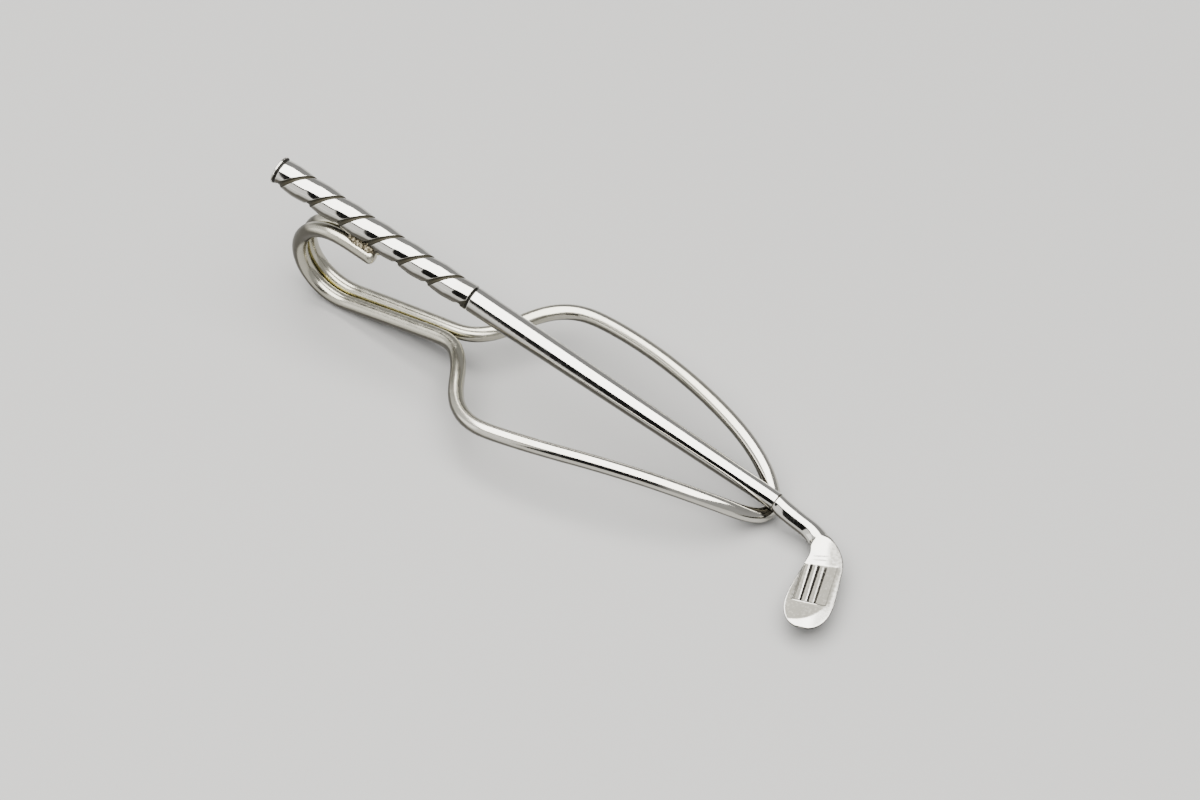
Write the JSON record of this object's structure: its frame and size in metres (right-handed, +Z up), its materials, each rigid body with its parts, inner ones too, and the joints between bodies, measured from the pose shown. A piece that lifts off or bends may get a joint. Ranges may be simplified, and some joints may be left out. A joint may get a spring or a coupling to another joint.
{
  "type": "tie clip",
  "caption": "Silver tie clip shaped as a small golf club, with a sprung paddle-shaped wire loop that grips a tie against the shaft.",
  "frame": {"origin": "middle of the bounding box's footprint, on the table the clip lies on", "axes": "+X level, along the shaft from grip to head; -Y to the side the blade points to; +Z up from the table"},
  "size_m": [0.0578, 0.017, 0.0128],
  "materials": {
    "polished_silver": "polished sterling silver",
    "grip_silver": "polished silver lands, blackened spiral groove",
    "head_silver": "polished silver with a satin face and darkened score lines",
    "wire_silver": "polished silver wire with light warm tarnish",
    "solder_silver": "rough, dull silver solder"
  },
  "bodies": {
    "spring": {"near_spring_bend": "wire_silver", "far_spring_bend": "wire_silver", "spring_loop": "wire_silver"},
    "club": {"butt_cap": "polished_silver", "grip_sleeve": "grip_silver", "shaft": "polished_silver", "club_head": "head_silver", "near_wire_leg": "wire_silver", "far_wire_leg": "wire_silver", "leg_solder": "solder_silver"}
  },
  "joints": [
    {"name": "clip_open", "type": "hinge", "parent": "spring", "child": "club", "pos_m": [-0.0223, 0.00046, 0.00449], "axis": [0, -1, 0], "range_deg": [0, 8], "stiffness_Nm_per_rad": 0.9, "deforming": ["near_spring_bend", "far_spring_bend"]}
  ]
}
